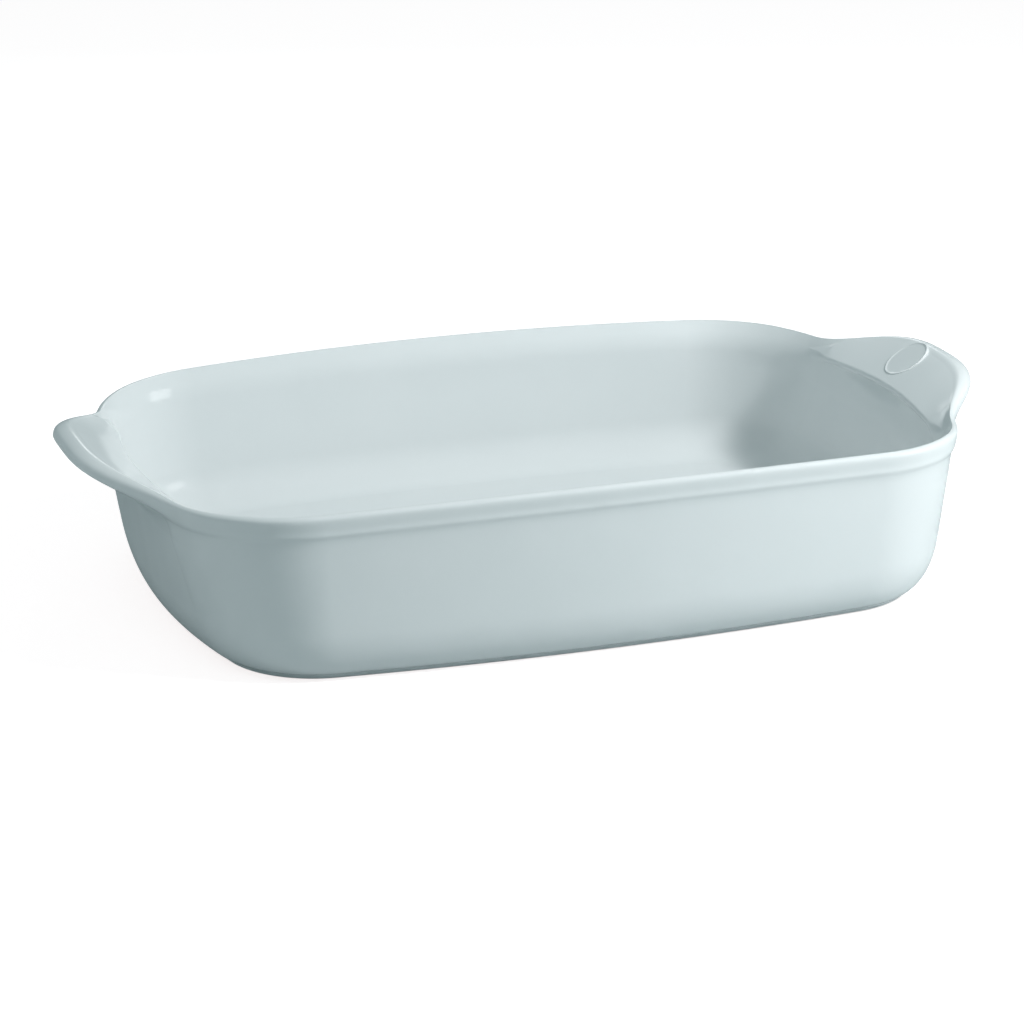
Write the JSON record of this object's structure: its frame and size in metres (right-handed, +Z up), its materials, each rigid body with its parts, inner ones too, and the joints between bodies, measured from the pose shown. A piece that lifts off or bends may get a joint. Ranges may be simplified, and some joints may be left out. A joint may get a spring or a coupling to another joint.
{
  "type": "baking dish",
  "caption": "Rectangular glazed stoneware baking dish with bowed sides, a rolled rim and a broad lug handle at each end, for baking and serving.",
  "frame": {"origin": "middle of the standing face, on the table", "axes": "+X along the dish towards the handle with the blank oval, -Y the long side that faces the viewer, +Z up"},
  "size_m": [0.421, 0.2516, 0.0846],
  "materials": {
    "glaze": "pale blue-grey gloss glaze",
    "foot": "thin wiped glaze, satin"
  },
  "bodies": {
    "root": {"foot_ring": "foot", "base": "glaze", "wall": "glaze", "rim_back": "glaze", "rim_front": "glaze", "handle_left": "glaze", "handle_right": "glaze", "handle_oval": "glaze"}
  },
  "joints": []
}
